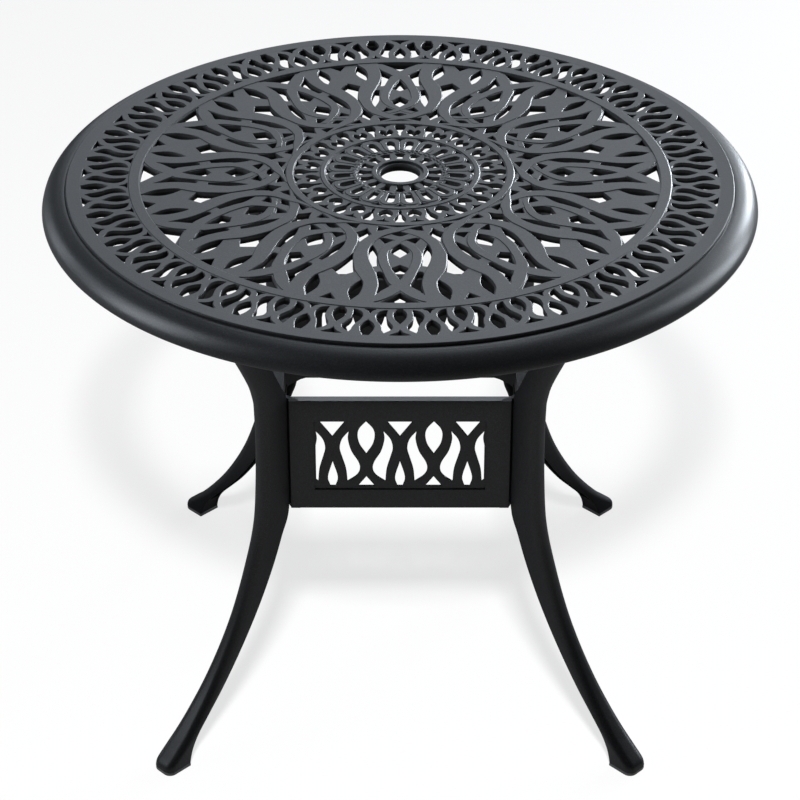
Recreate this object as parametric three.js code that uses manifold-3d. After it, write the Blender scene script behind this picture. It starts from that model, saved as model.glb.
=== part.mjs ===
// Round cast-aluminium patio table: a pierced top with an umbrella hole, channel legs and pierced aprons.
// Millimetres, +Z up, the floor at Z = 0, the front apron faces -Y and the legs stand on the diagonals.
import * as THREE from 'three';
import { mergeGeometries, mergeVertices } from 'three/addons/utils/BufferGeometryUtils.js';
import Module from 'manifold-3d';

const wasm = await Module();
wasm.setup();

// Overall sizes
const tableHeight = 717;
const tabletopRadius = 450.5;
const seatGap = 0.3;
const joinBite = 1;
const cutOverrun = 2;
const weldTolerance = 1e-4;
const roundSegments = 64;
const crownSegments = 12;
const hubSegments = 24;
const boreSegments = 8;

// Tabletop casting: widths inwards from the rim, then radii outwards from the umbrella hole
const rimWidth = 30.8;
const bandWidth = 18.3;
const borderWidth = 59.4;
const beadWidth = 15;
const innerRingOuterRadius = 144.5;
const innerRingInnerRadius = 134.3;
const secondRingOuterRadius = 101.3;
const secondRingInnerRadius = 94;
const ropeRingOuterRadius = 62;
const ropeRingInnerRadius = 53.5;
const hubRadius = 35.7;
const umbrellaHoleDiameter = 50;
const hubCounterboreWidth = 4.3;
const hubCounterboreDepth = 3;
const hubLength = 24;
const hubDraft = 2;

// Tabletop casting: heights
const latticeDepth = 9;
const crownRise = 2.4;
const bandStep = 6.5;
const rimHeight = 35.5;

// Tabletop casting: numbers of repeats round the circle
const borderUnits = 32;
const teardropUnits = 12;
const medallionUnits = 20;
const hubUnits = 16;

// Leg pads and the bosses that they are bolted to, under the bead ring
const bossWidth = 32;
const bossRadialMargin = 1.5;
const bossDrop = 11;
const padThickness = 7;
const padRadialLength = 36;
const boltRoomHeight = 14;
const boltRoomSetback = 7;

// Legs: an open channel with a round nose, its open side towards the centre
const legWidth = 34;
const legWall = 5;
const legCornerRadius = 11;
const legWaistRadius = 214.5;
const legWaistDepth = 38.5;
const footSetback = 9.5;
const footLength = 37;
const footWebStations = 3;
const glideThickness = 5;
const glideStemRadius = 5;
const glideStemLength = 14;
const glideStemClearance = 0.3;
const glideStemEndGap = 2;

// Aprons: trays with a pierced window, their ends folded to close the leg channels
const apronTop = 481;
const apronHeight = 163;
const apronWall = 5;
const apronFlangeDepth = 11;
const apronEndWidth = 16;
const apronEndGap = 0.4;
const windowHalfWidth = 106;
const windowHeight = 97;
const windowBottomMargin = 34;
const windowRecess = 1.5;
const apronMotifPitch = 84;

// Fasteners
const legBoltDiameter = 8;
const legBoltLength = 16;
const legBoltHeadWidth = 13;
const legBoltHeadHeight = 5.5;
const legWasherDiameter = 16;
const legWasherThickness = 1.6;
const cornerBoltDiameter = 6;
const cornerBoltLength = 30;
const cornerBoltHeadWidth = 10;
const cornerBoltHeadHeight = 4;
const cornerPlateWidth = 24;
const cornerPlateHeight = 30;
const cornerPlateThickness = 2.5;
const boltClearance = 0.35;
const boreRelief = 1.5;
const lugHeight = 30;
const lugDepth = 26;

// Places worked out from the sizes above
const diagonal = Math.SQRT1_2;
const bandOuterRadius = tabletopRadius - rimWidth;
const bandInnerRadius = bandOuterRadius - bandWidth;
const beadOuterRadius = bandInnerRadius - borderWidth;
const beadInnerRadius = beadOuterRadius - beadWidth;
const umbrellaHoleRadius = umbrellaHoleDiameter / 2;
const plateBottom = tableHeight - latticeDepth;
const hubTop = tableHeight + crownRise;
const legHalfWidth = legWidth / 2;
const legWaistInner = legWaistRadius + seatGap;
const apronBottom = apronTop - apronHeight;
const apronMiddle = (apronTop + apronBottom) / 2;
const windowBottom = apronBottom + windowBottomMargin;
const bossBottom = plateBottom - bossDrop;
const padTop = bossBottom - seatGap;
const padBottom = padTop - padThickness;
const legBoltRadius = (beadInnerRadius + beadOuterRadius) / 2;
const padInnerRadius = legBoltRadius - padRadialLength / 2;
const padOuterRadius = legBoltRadius + padRadialLength / 2;
const footOuterRadius = tabletopRadius - footSetback;
const footInnerRadius = footOuterRadius - footLength;
const footMiddle = (footInnerRadius + footOuterRadius) / 2;
const footBottom = glideThickness + seatGap;
const legBoltSeat = padBottom - 2 * seatGap - legWasherThickness;
const legBoltBoreTop = legBoltSeat + legBoltLength + boreRelief;
const cornerPlateSeat = legWaistRadius - apronWall - seatGap;
const cornerBoltSeat = cornerPlateSeat - cornerPlateThickness - seatGap;
const cornerBoltBoreEnd = cornerBoltSeat + cornerBoltLength + boreRelief;

// Turns a closed three.js geometry into a solid that can be joined or cut.
function solidOf(geometry) {
  const bare = geometry.clone();
  bare.deleteAttribute('normal');
  bare.deleteAttribute('uv');
  const merged = mergeVertices(bare, weldTolerance);
  const mesh = new wasm.Mesh({
    numProp: 3,
    vertProperties: new Float32Array(merged.attributes.position.array),
    triVerts: new Uint32Array(merged.index.array),
  });
  return new wasm.Manifold(mesh);
}

// Turns a solid back into a three.js geometry, its flat faces joined up again.
function geometryOf(solid) {
  const mesh = solid.asOriginal().simplify().getMesh();
  const geometry = new THREE.BufferGeometry();
  geometry.setAttribute('position', new THREE.BufferAttribute(new Float32Array(mesh.vertProperties), 3));
  geometry.setIndex(new THREE.BufferAttribute(new Uint32Array(mesh.triVerts), 1));
  geometry.computeVertexNormals();
  return geometry;
}

// A point of the plan from its angle in degrees, measured from the front towards the right, and its radius.
function planPoint(degrees, radius) {
  const angle = THREE.MathUtils.degToRad(degrees);
  return new THREE.Vector2(radius * Math.sin(angle), -radius * Math.cos(angle));
}

// Revolves a closed counter-clockwise profile of [radius, height] pairs about the Z axis.
function revolve(profile, segments) {
  const points = profile.map(([radius, height]) => new THREE.Vector2(radius, height));
  points.push(points[0].clone());
  const geometry = new THREE.LatheGeometry(points, segments);
  geometry.rotateX(Math.PI / 2);
  return geometry;
}

// Extrudes an outline of the plan upwards from one height to another.
function prism(outline, bottom, top) {
  const shape = new THREE.Shape(outline);
  const geometry = new THREE.ExtrudeGeometry(shape, { depth: top - bottom, bevelEnabled: false });
  geometry.translate(0, 0, bottom);
  return geometry;
}

// A box given by its lowest and highest corners.
function block(low, high) {
  const geometry = new THREE.BoxGeometry(high[0] - low[0], high[1] - low[1], high[2] - low[2]);
  geometry.translate((low[0] + high[0]) / 2, (low[1] + high[1]) / 2, (low[2] + high[2]) / 2);
  return geometry;
}

// A rod along Z, from one height to another.
function rod(radius, bottom, top, sides) {
  const geometry = new THREE.CylinderGeometry(radius, radius, top - bottom, sides);
  geometry.rotateX(Math.PI / 2);
  geometry.translate(0, 0, (bottom + top) / 2);
  return geometry;
}

// A list of [across, up] pairs with its mirror image in the line across = axis.
function withMirror(outline, axis) {
  const mirrored = outline.map(([across, up]) => [2 * axis - across, up]).reverse();
  return [outline, mirrored];
}

// Scroll motif of the border. Across is a share of the unit's angle, up a share of the zone's width.
const scrollHoleShares = [
  [0.18, 0.84], [0.33, 0.58], [0.4, 0.22], [0.27, 0.06], [0.125, 0.7],
];
const lowerDropShares = [[0, 0.02], [0.11, 0.2], [0, 0.455], [-0.11, 0.2]];
const upperDropShares = [[0.5, 0.985], [0.41, 0.76], [0.5, 0.49], [0.59, 0.76]];
const borderMotif = [...withMirror(scrollHoleShares, 0), lowerDropShares, upperDropShares];

// Scroll motif of the aprons. Across is a share of the pitch, up a share of the window's height.
const apronScrollShares = [
  [0.2, 0.86], [0.26, 0.64], [0.39, 0.37], [0.4, 0.22], [0.2, 0.07], [0.2, 0.32], [0.09, 0.63], [0.11, 0.78],
];
const apronLowerDropShares = [[-0.055, 0], [0.055, 0], [0.08, 0.22], [0, 0.4], [-0.08, 0.22]];
const apronUpperDropShares = [[0.5, 1], [0.376, 0.77], [0.5, 0.51], [0.624, 0.77]];
const apronUpperNotchShares = [[-0.19, 1], [-0.09, 0.88], [0, 0.76], [0.09, 0.88], [0.19, 1]];
const apronLowerNotchShares = [[0.38, 0], [0.62, 0], [0.5, 0.147]];
const apronMotif = [
  ...withMirror(apronScrollShares, 0),
  apronLowerDropShares,
  apronUpperDropShares,
  apronUpperNotchShares,
  apronLowerNotchShares,
];

// Teardrop motif of the main lattice. Across is a share of the unit's angle, up a share of the zone's width.
const outerGapShares = [[-0.137, 0.99], [0, 0.868], [0.137, 0.99]];
const outerNotchShares = [[0.442, 0.99], [0.5, 0.923], [0.558, 0.99]];
const outerLensShares = [[-0.343, 0.98], [-0.38, 0.84], [-0.31, 0.71], [-0.285, 0.82]];
const shoulderShares = [[-0.167, 0.876], [-0.203, 0.624], [-0.163, 0.61], [-0.09, 0.76]];
const arrowShares = [[0, 0.695], [-0.073, 0.54], [0, 0.514], [0.073, 0.54]];
const slantShares = [[-0.28, 0.505], [-0.353, 0.32], [-0.343, 0.26], [-0.213, 0.45]];
const dropShares = [[-0.1, 0.325], [0, 0.22], [0.1, 0.325], [0, 0.352]];
const cornerShares = [[-0.263, 0.165], [-0.09, 0.178], [-0.187, 0.232]];
const lowLensShares = [[-0.12, 0.1], [0, 0.075], [0.12, 0.1], [0, 0.132]];
const footHoleShares = [[-0.34, 0.066], [-0.34, 0.014], [-0.09, 0.03]];
const starShares = [[0.5, 0.236], [0.46, 0.155], [0.393, 0.126], [0.5, 0.05], [0.607, 0.126], [0.54, 0.155]];
const diamondShares = [[0.5, 0.692], [0.377, 0.6], [0.5, 0.394], [0.623, 0.6]];
const teardropMotif = [
  outerGapShares,
  outerNotchShares,
  ...withMirror(outerLensShares, 0),
  ...withMirror(shoulderShares, 0),
  arrowShares,
  ...withMirror(slantShares, 0),
  dropShares,
  ...withMirror(cornerShares, 0),
  lowLensShares,
  ...withMirror(footHoleShares, 0),
  starShares,
  diamondShares,
];

// Medallion motifs: a bat-shaped hole and a keyhole between the two rings, an oval inside the second ring.
const batShares = [[0.26, 0.36], [0.5, 0.04], [0.74, 0.36], [0.5, 0.46]];
const keyholeShares = [[0, 0.04], [0.05, 0.42], [0.17, 0.72], [0, 0.96], [-0.17, 0.72], [-0.05, 0.42]];
const ovalShares = [[0.3, 0.04], [0.7, 0.04], [0.69, 0.58], [0.5, 0.7], [0.31, 0.58]];
const hubHoleShares = [[-0.28, 0.12], [0.28, 0.12], [0.34, 0.86], [-0.34, 0.86]];

// Cuts one motif, repeated round the circle, as prisms right through the lattice.
function ringOfHoles(motif, units, innerRadius, outerRadius) {
  const unitAngle = 360 / units;
  const holes = [];
  for (let unit = 0; unit < units; unit += 1) {
    for (const outline of motif) {
      const points = outline.map(([across, up]) =>
        planPoint((unit + across) * unitAngle, innerRadius + up * (outerRadius - innerRadius)));
      holes.push(prism(points, plateBottom - cutOverrun, hubTop + cutOverrun));
    }
  }
  return solidOf(mergeGeometries(holes));
}

// Plan frame of one diagonal: moves a geometry made along +X, with Z up, to the leg at the given angle.
function toDiagonal(geometry, quarter) {
  geometry.rotateZ(Math.PI / 4 + quarter * Math.PI / 2);
  return geometry;
}

// Rim profile from the plate's underside, round the lip and up to the band.
// Each point is a share of the rim's width outwards and a share of its drop downwards.
const rimShares = [
  [-0.08, 0.207], [0.5, 0.28], [0.76, 0.5], [0.643, 1], [0.831, 1], [1, 0.769], [0.93, 0.51],
  [0.77, 0.26], [0.4, 0.052], [0.081, 0],
];

// Tabletop
function makeTabletop() {
  const rimDrop = rimHeight - bandStep;
  const rim = rimShares.map(([out, down]) =>
    [bandOuterRadius + out * rimWidth, tableHeight - bandStep - down * rimDrop]);
  const plateInnerRadius = hubRadius - joinBite;
  const flatPlate = revolve([
    [beadInnerRadius - joinBite, plateBottom],
    [bandInnerRadius, plateBottom],
    ...rim,
    [bandOuterRadius, tableHeight],
    [beadInnerRadius - joinBite, tableHeight],
  ], roundSegments);
  const crown = revolve([
    [plateInnerRadius, plateBottom + crownRise],
    [innerRingOuterRadius, plateBottom + crownRise],
    [beadInnerRadius, plateBottom],
    [beadOuterRadius, plateBottom],
    [beadOuterRadius, tableHeight],
    [beadInnerRadius, tableHeight],
    [innerRingOuterRadius, hubTop],
    [plateInnerRadius, hubTop],
  ], crownSegments);
  const hub = revolve([
    [umbrellaHoleRadius, hubTop - hubLength],
    [hubRadius - hubDraft, hubTop - hubLength],
    [hubRadius, hubTop - latticeDepth],
    [hubRadius, hubTop],
    [umbrellaHoleRadius + hubCounterboreWidth, hubTop],
    [umbrellaHoleRadius + hubCounterboreWidth, hubTop - hubCounterboreDepth],
    [umbrellaHoleRadius, hubTop - hubCounterboreDepth],
  ], hubSegments);
  let body = solidOf(flatPlate).add(solidOf(crown)).add(solidOf(hub));
  for (let quarter = 0; quarter < 4; quarter += 1) {
    const boss = block(
      [beadInnerRadius - bossRadialMargin, -bossWidth / 2, bossBottom],
      [beadOuterRadius + bossRadialMargin, bossWidth / 2, plateBottom + joinBite],
    );
    const boreRadius = legBoltDiameter / 2 + boltClearance;
    const bore = rod(boreRadius, bossBottom - cutOverrun, legBoltBoreTop, boreSegments);
    bore.translate(legBoltRadius, 0, 0);
    body = body.add(solidOf(toDiagonal(boss, quarter)));
    body = body.subtract(solidOf(toDiagonal(bore, quarter)));
  }
  const cuts = [
    ringOfHoles(borderMotif, borderUnits, beadOuterRadius, bandInnerRadius),
    ringOfHoles(teardropMotif, teardropUnits, innerRingOuterRadius, beadInnerRadius),
    ringOfHoles([batShares, keyholeShares], medallionUnits, secondRingOuterRadius, innerRingInnerRadius),
    ringOfHoles([ovalShares], medallionUnits, ropeRingOuterRadius, secondRingInnerRadius),
    ringOfHoles([hubHoleShares], hubUnits, hubRadius, ropeRingInnerRadius),
  ];
  for (const cut of cuts) {
    body = body.subtract(cut);
  }
  return geometryOf(body);
}

// Leg stations. Each row holds the inner edge's place as shares of the reach and of the rise, the outer
// face's offset from it, outwards and upwards, as shares of the waist's depth, and the half widths of the
// lips and of the nose. The upper rows run from the bolt's room under the pad down to the waist, the lower
// rows from the middle of the waist down to the foot.
const upperLegShares = [
  [1, 1, 1.052, 0, 0.912, 0.882],
  [0.646, 0.678, 0.858, -0.314, 0.841, 0.776],
  [0.262, 0.294, 0.75, -0.359, 0.794, 0.735],
  [0.079, 0.101, 0.881, -0.228, 0.794, 0.735],
  [0, 0, 1, -0.389, 0.794, 0.735],
];
const lowerLegShares = [
  [0, 1.262, 1, 0, 0.794, 0.735],
  [0, 1, 1.112, 0.236, 0.794, 0.735],
  [0.161, 0.744, 0.848, 0.284, 0.647, 0.729],
  [0.271, 0.611, 0.697, 0.357, 0.582, 0.735],
  [0.388, 0.495, 0.551, 0.374, 0.571, 0.753],
  [0.519, 0.38, 0.453, 0.374, 0.576, 0.771],
  [0.667, 0.269, 0.35, 0.357, 0.629, 0.824],
  [0.802, 0.181, 0.288, 0.309, 0.706, 0.9],
  [0.908, 0.111, 0.438, 0.13, 0.788, 0.965],
  [0.963, 0.06, 0.689, 0.057, 0.882, 1],
];
const largestCornerShare = 0.95;

// One station: the inner edge's point and the outer face's point in the leg's plane, and the half widths.
function legStation(radius, height, outShare, upShare, lipShare, noseShare) {
  return {
    inner: new THREE.Vector2(radius, height),
    outer: new THREE.Vector2(radius + outShare * legWaistDepth, height + upShare * legWaistDepth),
    lip: lipShare * legHalfWidth,
    nose: noseShare * legHalfWidth,
  };
}

// All stations of a leg, from the pad down to the foot.
function legStations() {
  const roomBottom = padBottom - boltRoomHeight;
  const upperReach = padInnerRadius - boltRoomSetback - legWaistInner;
  const upperRise = roomBottom - apronTop;
  const lowerReach = footInnerRadius - legWaistInner;
  const lowerRise = apronBottom - footBottom;
  const pad = legStation(padInnerRadius, padBottom + joinBite, padRadialLength / legWaistDepth, 0, 1, 1);
  const upper = upperLegShares.map(([reach, rise, ...section]) =>
    legStation(legWaistInner + reach * upperReach, apronTop + rise * upperRise, ...section));
  const lower = lowerLegShares.map(([reach, rise, ...section]) =>
    legStation(legWaistInner + reach * lowerReach, footBottom + rise * lowerRise, ...section));
  const foot = legStation(footInnerRadius, footBottom, footLength / legWaistDepth, 0, 1, 1);
  return [pad, ...upper, ...lower, foot];
}

// Lofts a section, given at each station as [across, share of the depth] points, into a closed geometry.
function loft(stations, sectionAt) {
  const positions = [];
  const rings = stations.map((station) => sectionAt(station).map(([across, share]) => {
    const point = station.inner.clone().lerp(station.outer, share);
    return new THREE.Vector3(point.x, across, point.y);
  }));
  const triangle = (a, b, c) => positions.push(...a.toArray(), ...b.toArray(), ...c.toArray());
  for (let i = 0; i + 1 < rings.length; i += 1) {
    for (let j = 0; j < rings[i].length; j += 1) {
      const k = (j + 1) % rings[i].length;
      triangle(rings[i][j], rings[i + 1][j], rings[i + 1][k]);
      triangle(rings[i][j], rings[i + 1][k], rings[i][k]);
    }
  }
  const first = rings[0];
  const last = rings[rings.length - 1];
  const flat = sectionAt(stations[0]).map(([across, share]) => new THREE.Vector2(across, share));
  for (const [a, b, c] of THREE.ShapeUtils.triangulateShape(flat, [])) {
    triangle(first[c], first[b], first[a]);
    triangle(last[a], last[b], last[c]);
  }
  const geometry = new THREE.BufferGeometry();
  geometry.setAttribute('position', new THREE.Float32BufferAttribute(positions, 3));
  return geometry;
}

// A closed section from the points of its right half, listed from the open side to the middle of the nose.
function symmetrical(half) {
  const left = half.map(([across, share]) => [-across, share]);
  return [...left, ...[...half].reverse()];
}

// The open channel's section: the outside with its round corners, then the hollow's own outline inside it.
function channelSection(station) {
  const depth = station.inner.distanceTo(station.outer);
  const radius = Math.min(legCornerRadius, station.nose * largestCornerShare);
  const corner = radius / depth;
  const middleShare = 1 - diagonal;
  const outside = symmetrical([
    [station.lip, 0],
    [station.nose, 1 - corner],
    [station.nose - middleShare * radius, 1 - middleShare * corner],
    [station.nose - radius, 1],
  ]);
  const inside = symmetrical([
    [station.lip - legWall, 0],
    [station.nose - legWall, 1 - corner],
    [(station.nose - legWall) / 2, 1 - legWall / depth],
  ]);
  return [...outside, ...inside.reverse()];
}

// The section of a web that fills the channel and ends in the middle of its walls.
function webSection(station) {
  const depth = station.inner.distanceTo(station.outer);
  const corner = Math.min(legCornerRadius, station.nose * largestCornerShare) / depth;
  return symmetrical([
    [station.lip - legWall / 2, 0],
    [station.nose - legWall / 2, 1 - corner],
    [station.nose / 2, 1 - legWall / 2 / depth],
  ]);
}

// Leg
function makeLeg() {
  const stations = legStations();
  const waist = stations[upperLegShares.length + 1];
  const channel = solidOf(loft(stations, channelSection));
  const foot = solidOf(loft(stations.slice(-footWebStations), webSection));
  const pad = solidOf(block(
    [padInnerRadius, -legHalfWidth, padBottom],
    [padOuterRadius, legHalfWidth, padTop],
  ));
  const lugHalfWidth = waist.lip - legWall / 2;
  const lug = solidOf(block(
    [legWaistInner, -lugHalfWidth, apronMiddle - lugHeight / 2],
    [legWaistInner + lugDepth, lugHalfWidth, apronMiddle + lugHeight / 2],
  ));
  const padBoreRadius = legBoltDiameter / 2 + boltClearance;
  const padBore = rod(padBoreRadius, padBottom - cutOverrun, padTop + cutOverrun, boreSegments);
  padBore.translate(legBoltRadius, 0, 0);
  const lugBoreRadius = cornerBoltDiameter / 2 + boltClearance;
  const lugBore = rod(lugBoreRadius, legWaistInner - cutOverrun, cornerBoltBoreEnd, boreSegments);
  lugBore.rotateY(Math.PI / 2);
  lugBore.translate(0, 0, apronMiddle);
  const stemBoreRadius = glideStemRadius + glideStemClearance;
  const stemBore = rod(stemBoreRadius, footBottom - cutOverrun, footBottom + glideStemLength, boreSegments);
  stemBore.translate(footMiddle, 0, 0);
  const body = channel.add(foot).add(pad).add(lug);
  return geometryOf(body.subtract(solidOf(padBore)).subtract(solidOf(lugBore)).subtract(solidOf(stemBore)));
}

// Glide: a thin pad of the foot's outline with a stem that pushes up into the foot
function makeGlide() {
  const outline = new THREE.Shape();
  const turnX = footOuterRadius - legCornerRadius;
  const turnY = legHalfWidth - legCornerRadius;
  outline.moveTo(footInnerRadius, -legHalfWidth);
  outline.lineTo(turnX, -legHalfWidth);
  outline.absarc(turnX, -turnY, legCornerRadius, -Math.PI / 2, 0);
  outline.lineTo(footOuterRadius, turnY);
  outline.absarc(turnX, turnY, legCornerRadius, 0, Math.PI / 2);
  outline.lineTo(footInnerRadius, legHalfWidth);
  const pad = prism(outline.getPoints(1), 0, glideThickness);
  const stemTop = footBottom + glideStemLength - glideStemEndGap;
  const stem = rod(glideStemRadius, glideThickness - joinBite, stemTop, boreSegments);
  stem.translate(footMiddle, 0, 0);
  return geometryOf(solidOf(pad).add(solidOf(stem)));
}

// Apron, made with its face towards -Y
function makeApron() {
  const cornerX = (legWaistRadius - apronEndWidth) * diagonal;
  const cornerY = -(legWaistRadius + apronEndWidth) * diagonal;
  const endX = (legWaistRadius - apronEndGap) * diagonal;
  const endY = -(legWaistRadius + apronEndGap) * diagonal;
  const inset = apronWall * diagonal;
  const innerCornerX = cornerX - apronWall * Math.tan(Math.PI / 8);
  const wall = prism([
    new THREE.Vector2(cornerX, cornerY),
    new THREE.Vector2(endX, endY),
    new THREE.Vector2(endX - inset, endY + inset),
    new THREE.Vector2(innerCornerX, cornerY + apronWall),
    new THREE.Vector2(-innerCornerX, cornerY + apronWall),
    new THREE.Vector2(inset - endX, endY + inset),
    new THREE.Vector2(-endX, endY),
    new THREE.Vector2(-cornerX, cornerY),
  ], apronBottom, apronTop);
  const shelfFrontX = cornerX - joinBite;
  const shelfBackX = cornerX + apronFlangeDepth - apronWall;
  const shelfOutline = [
    new THREE.Vector2(shelfFrontX, cornerY + joinBite),
    new THREE.Vector2(shelfBackX, cornerY + apronFlangeDepth),
    new THREE.Vector2(-shelfBackX, cornerY + apronFlangeDepth),
    new THREE.Vector2(-shelfFrontX, cornerY + joinBite),
  ];
  const topShelf = prism(shelfOutline, apronTop - apronWall, apronTop);
  const bottomShelf = prism(shelfOutline, apronBottom, apronBottom + apronWall);
  const recess = block(
    [-windowHalfWidth, cornerY - cutOverrun, windowBottom],
    [windowHalfWidth, cornerY + windowRecess, windowBottom + windowHeight],
  );
  const window = block(
    [-windowHalfWidth, cornerY - cutOverrun, windowBottom],
    [windowHalfWidth, cornerY + apronWall + cutOverrun, windowBottom + windowHeight],
  );
  const holes = [];
  const reach = Math.ceil(windowHalfWidth / apronMotifPitch);
  for (let unit = -reach; unit <= reach; unit += 1) {
    for (const outline of apronMotif) {
      const points = outline.map(([across, up]) =>
        new THREE.Vector2((unit + across) * apronMotifPitch, windowBottom + up * windowHeight));
      const hole = prism(points, -apronWall - cutOverrun, cutOverrun);
      hole.rotateX(Math.PI / 2);
      hole.translate(0, cornerY, 0);
      holes.push(hole);
    }
  }
  const pierced = solidOf(mergeGeometries(holes)).intersect(solidOf(window));
  const notchHalf = cornerBoltDiameter / 2 + boltClearance;
  const notch = block(
    [-notchHalf, -cutOverrun, apronMiddle - notchHalf],
    [notchHalf, apronWall + cutOverrun, apronMiddle + notchHalf],
  );
  let body = solidOf(wall).add(solidOf(topShelf)).add(solidOf(bottomShelf));
  body = body.subtract(solidOf(recess)).subtract(pierced);
  for (const side of [-1, 1]) {
    const cut = notch.clone();
    cut.rotateZ(side * Math.PI / 4);
    cut.translate(side * legWaistRadius * diagonal, -legWaistRadius * diagonal, 0);
    body = body.subtract(solidOf(cut));
  }
  return geometryOf(body);
}

// Hexagon-head bolt along +Z: the head below Z = 0, the shank above it
function makeBolt(diameter, length, headWidth, headHeight) {
  const head = rod(headWidth / Math.sqrt(3), -headHeight, 0, 6);
  const shank = rod(diameter / 2, -headHeight / 2, length, boreSegments);
  return geometryOf(solidOf(head).add(solidOf(shank)));
}

// Round washer with its top face at Z = 0
function makeWasher(diameter, boltDiameter, thickness) {
  const hole = boltDiameter / 2 + boltClearance;
  return revolve([
    [hole, -thickness],
    [diameter / 2, -thickness],
    [diameter / 2, 0],
    [hole, 0],
  ], boreSegments);
}

// Square clamp plate with its top face at Z = 0, which bridges two apron ends
function makeCornerPlate() {
  const plate = block(
    [-cornerPlateHeight / 2, -cornerPlateWidth / 2, -cornerPlateThickness],
    [cornerPlateHeight / 2, cornerPlateWidth / 2, 0],
  );
  const holeRadius = cornerBoltDiameter / 2 + boltClearance;
  const hole = rod(holeRadius, -cornerPlateThickness - cutOverrun, cutOverrun, boreSegments);
  return geometryOf(solidOf(plate).subtract(solidOf(hole)));
}

// Materials
function castPaint() {
  return new THREE.MeshStandardMaterial({ color: 0x2b2d30, roughness: 0.55, metalness: 0.35 });
}

function glidePlastic() {
  return new THREE.MeshStandardMaterial({ color: 0x3a3b3d, roughness: 0.7, metalness: 0 });
}

function boltSteel() {
  return new THREE.MeshStandardMaterial({ color: 0x8d8f92, roughness: 0.35, metalness: 0.9 });
}

const table = new THREE.Group();

// Adds one named piece to the table.
function place(name, geometry, material) {
  const mesh = new THREE.Mesh(geometry, material);
  mesh.name = name;
  table.add(mesh);
  return mesh;
}

place('tabletop', makeTabletop(), castPaint());

// The legs, aprons and fasteners repeat round the four corners and sides.
const cornerNames = ['rear_right', 'rear_left', 'front_left', 'front_right'];
const sideNames = ['front', 'right', 'rear', 'left'];
for (let quarter = 0; quarter < 4; quarter += 1) {
  const corner = cornerNames[quarter];
  const turn = Math.PI / 4 + quarter * Math.PI / 2;

  const leg = place(`leg_${corner}`, makeLeg(), castPaint());
  leg.rotation.z = turn;
  const glide = place(`glide_${corner}`, makeGlide(), glidePlastic());
  glide.rotation.z = turn;
  const apron = place(`apron_${sideNames[quarter]}`, makeApron(), castPaint());
  apron.rotation.z = quarter * Math.PI / 2;

  const legJoint = new THREE.Group();
  legJoint.rotation.z = turn;
  table.add(legJoint);
  const legWasher = place(`leg_washer_${corner}`,
    makeWasher(legWasherDiameter, legBoltDiameter, legWasherThickness), boltSteel());
  legWasher.position.set(legBoltRadius, 0, padBottom - seatGap);
  legJoint.add(legWasher);
  const legBolt = place(`leg_bolt_${corner}`,
    makeBolt(legBoltDiameter, legBoltLength, legBoltHeadWidth, legBoltHeadHeight), boltSteel());
  legBolt.position.set(legBoltRadius, 0, legBoltSeat);
  legJoint.add(legBolt);

  const cornerPlate = place(`corner_plate_${corner}`, makeCornerPlate(), boltSteel());
  cornerPlate.rotation.y = Math.PI / 2;
  cornerPlate.position.set(cornerPlateSeat, 0, apronMiddle);
  legJoint.add(cornerPlate);
  const cornerBolt = place(`corner_bolt_${corner}`,
    makeBolt(cornerBoltDiameter, cornerBoltLength, cornerBoltHeadWidth, cornerBoltHeadHeight), boltSteel());
  cornerBolt.rotation.y = Math.PI / 2;
  cornerBolt.position.set(cornerBoltSeat, 0, apronMiddle);
  legJoint.add(cornerBolt);
}

export default table;
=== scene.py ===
import bmesh
import bpy
import mathutils
import numpy as np
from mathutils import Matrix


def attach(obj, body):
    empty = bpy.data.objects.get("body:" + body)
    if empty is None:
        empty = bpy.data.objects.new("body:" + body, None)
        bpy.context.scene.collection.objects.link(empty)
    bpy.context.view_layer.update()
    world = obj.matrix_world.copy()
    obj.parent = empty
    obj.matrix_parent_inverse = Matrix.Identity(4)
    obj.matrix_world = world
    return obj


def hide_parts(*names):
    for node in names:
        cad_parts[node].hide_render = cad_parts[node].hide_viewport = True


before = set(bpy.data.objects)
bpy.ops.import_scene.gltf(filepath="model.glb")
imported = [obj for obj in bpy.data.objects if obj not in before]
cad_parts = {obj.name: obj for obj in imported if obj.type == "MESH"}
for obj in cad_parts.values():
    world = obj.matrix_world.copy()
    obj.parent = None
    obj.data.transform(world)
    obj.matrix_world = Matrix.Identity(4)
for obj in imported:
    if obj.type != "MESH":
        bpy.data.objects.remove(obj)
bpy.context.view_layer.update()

# Camera: a long lens in front of the table, a good metre above the top, looking down at it by 32 degrees.
camera = bpy.data.objects.new("camera", bpy.data.cameras.new("camera"))
bpy.context.scene.collection.objects.link(camera)
bpy.context.scene.camera = camera
camera.data.sensor_width = 36
camera.data.lens = 117.78
camera.location = (0, -2.9448, 2.2309)
camera.rotation_euler = (np.radians(90 - 32.17), 0, 0)

# Studio: a white floor that keeps a soft shadow, a tall white panel behind the table whose reflection is the sheen of
# the top, strips and panels at the back and the sides, some of which light only some of the castings, and a far lamp
# in front for the shadow. Only the camera sees the floor as white, so it doesn't brighten the table's undersides.
floor_half_width = 14
floor_shade, floor_grey = 0.04, 0.11
shade_middle, shade_start, shade_end = (0, 0.4, 0), 0.45, 0.85
floor_glow, floor_lit = 0.715, 0.10
sky_strength = 0.045


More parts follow.
